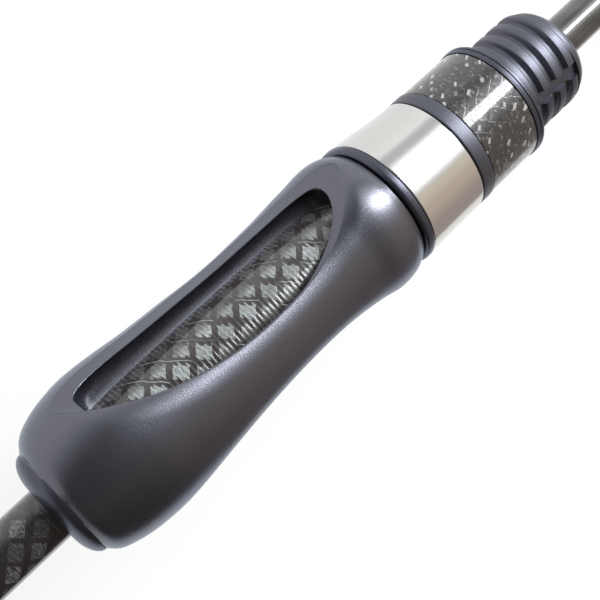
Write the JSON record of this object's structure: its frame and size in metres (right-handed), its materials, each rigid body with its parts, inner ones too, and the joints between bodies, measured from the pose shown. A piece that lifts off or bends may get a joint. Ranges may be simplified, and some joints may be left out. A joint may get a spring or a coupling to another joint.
{
  "type": "spinning rod",
  "caption": "Two-piece spinning fishing rod with a windowed reel seat, sliding steel hood and threaded nut, carbon blank, foam butt grip and ring line guides.",
  "frame": {"origin": "centre of the butt cap's flat end face, on the rod's axis", "axes": "+X along the rod towards the tip, +Z on the palm side of the reel seat, -Z towards the reel foot and the guides"},
  "size_m": [1.6809, 0.0288, 0.0575],
  "materials": {
    "rubber": "matte moulded rubber",
    "foam": "closed-cell EVA foam, matte",
    "polished_steel": "polished",
    "handle_carbon": "woven carbon tape under clear gloss",
    "blank_carbon": "carbon blank under clear gloss",
    "window_carbon": "woven carbon pipe under clear gloss",
    "nut_carbon": "woven carbon sleeve under clear gloss",
    "dark_ring": "satin charcoal",
    "soft_touch": "satin soft-touch charcoal",
    "arbor_foam": "rigid foam",
    "guide_frame": "smoked polished steel",
    "ceramic": "polished ceramic",
    "thread_wrap": "dark winding thread under clear epoxy"
  },
  "bodies": {
    "butt_section": {"butt_cap": "rubber", "rear_grip": "foam", "grip_check": "polished_steel", "handle_tube": "handle_carbon", "butt_blank": "blank_carbon", "seat_end_cap": "dark_ring", "seat_body": "soft_touch", "seat_pipe": "window_carbon", "rear_arbor": "arbor_foam", "front_arbor": "arbor_foam", "threaded_barrel": "soft_touch", "ferrule_wrap_butt": "thread_wrap", "guide_1_frame": "guide_frame", "guide_1_ring": "ceramic", "guide_1_wrap": "thread_wrap", "guide_1_front_wrap": "thread_wrap"},
    "hood": {"hood_insert": "dark_ring", "hood_sleeve": "polished_steel"},
    "nut": {"nut_core": "dark_ring", "nut_band": "dark_ring", "nut_carbon_sleeve": "nut_carbon", "nut_front_ring": "dark_ring"},
    "tip_section": {"tip_blank": "blank_carbon", "ferrule_wrap_tip": "thread_wrap", "guide_2_frame": "guide_frame", "guide_2_ring": "ceramic", "guide_2_wrap": "thread_wrap", "guide_2_front_wrap": "thread_wrap", "guide_3_frame": "guide_frame", "guide_3_ring": "ceramic", "guide_3_wrap": "thread_wrap", "guide_4_frame": "guide_frame", "guide_4_ring": "ceramic", "guide_4_wrap": "thread_wrap", "guide_5_frame": "guide_frame", "guide_5_ring": "ceramic", "guide_5_wrap": "thread_wrap", "guide_6_frame": "guide_frame", "guide_6_ring": "ceramic", "guide_6_wrap": "thread_wrap", "tip_top_frame": "guide_frame", "tip_top_ring": "ceramic", "tip_top_wrap": "thread_wrap"}
  },
  "joints": [
    {"name": "hood_slide", "type": "slide", "parent": "butt_section", "child": "hood", "axis": [1, 0, 0], "range_m": [0, 0.012]},
    {"name": "nut_spin", "type": "hinge", "parent": "hood", "child": "nut", "pos_m": [0.295, 0, 0], "axis": [1, 0, 0], "range_deg": [0, 1220]},
    {"name": "ferrule_slide", "type": "slide", "parent": "butt_section", "child": "tip_section", "axis": [1, 0, 0], "range_m": [0, 0.055]}
  ],
  "couplings": [
    {"joint": "nut_spin", "follows": "hood_slide", "rad_per_m": 1769.9}
  ]
}
